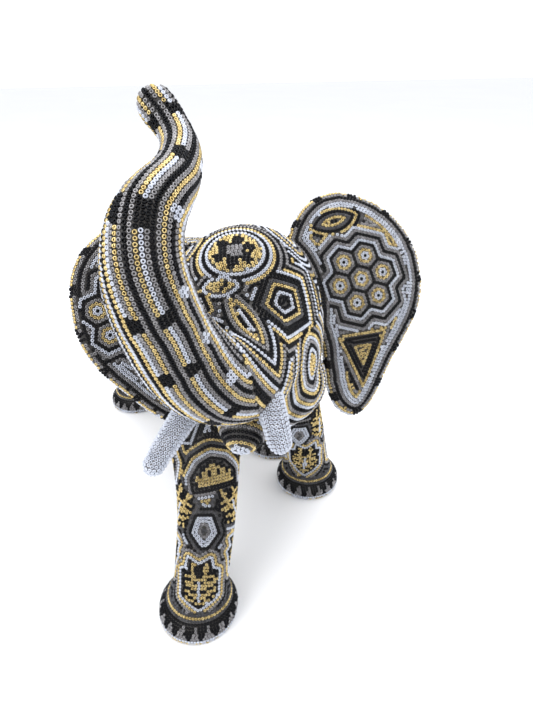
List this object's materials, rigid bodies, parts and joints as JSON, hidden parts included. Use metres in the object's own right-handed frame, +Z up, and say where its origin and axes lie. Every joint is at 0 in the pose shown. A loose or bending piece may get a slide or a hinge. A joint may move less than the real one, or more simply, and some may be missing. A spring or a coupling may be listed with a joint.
{
  "type": "beaded elephant figure",
  "caption": "Free-standing elephant figure with a raised trunk: doweled carved wooden core under a wax coat set all over with patterned glass seed beads.",
  "frame": {"origin": "centre of the figure's bounding box in X and Y, on the plane it stands on", "axes": "+Z up, the elephant faces -Y, its own left is +X"},
  "size_m": [0.2174, 0.366, 0.3339],
  "materials": {
    "carved_wood": "bare carved softwood",
    "hardwood_dowel": "smooth turned dowel",
    "wax": "dark resinous beeswax, slightly shiny",
    "white_beads": "opaque white glass seed beads",
    "patterned_beads": "black, grey, gold and white glass seed beads in rows"
  },
  "bodies": {
    "root": {"torso_core": "carved_wood", "torso_wax": "wax", "torso_beads": "patterned_beads", "head_core": "carved_wood", "head_wax": "wax", "head_beads": "patterned_beads", "trunk_core": "carved_wood", "trunk_wax": "wax", "trunk_beads": "patterned_beads", "lower_lip_core": "carved_wood", "lower_lip_wax": "wax", "lower_lip_beads": "patterned_beads", "left_ear_core": "carved_wood", "left_ear_wax": "wax", "left_ear_beads": "patterned_beads", "right_ear_core": "carved_wood", "right_ear_wax": "wax", "right_ear_beads": "patterned_beads", "tail_core": "carved_wood", "tail_wax": "wax", "tail_beads": "patterned_beads", "right_tusk_core": "carved_wood", "right_tusk_wax": "wax", "right_tusk_beads": "white_beads", "left_tusk_core": "carved_wood", "left_tusk_wax": "wax", "left_tusk_beads": "white_beads", "front_right_leg_core": "carved_wood", "front_right_leg_wax": "wax", "front_right_leg_beads": "patterned_beads", "front_left_leg_core": "carved_wood", "front_left_leg_wax": "wax", "front_left_leg_beads": "patterned_beads", "hind_left_leg_core": "carved_wood", "hind_left_leg_wax": "wax", "hind_left_leg_beads": "patterned_beads", "hind_right_leg_core": "carved_wood", "hind_right_leg_wax": "wax", "hind_right_leg_beads": "patterned_beads", "neck_dowels": "hardwood_dowel", "trunk_dowel": "hardwood_dowel", "lip_dowel": "hardwood_dowel", "leg_dowels": "hardwood_dowel", "tail_dowel": "hardwood_dowel", "right_tusk_dowel": "hardwood_dowel", "left_tusk_dowel": "hardwood_dowel", "left_ear_pins": "hardwood_dowel", "right_ear_pins": "hardwood_dowel"}
  },
  "joints": []
}
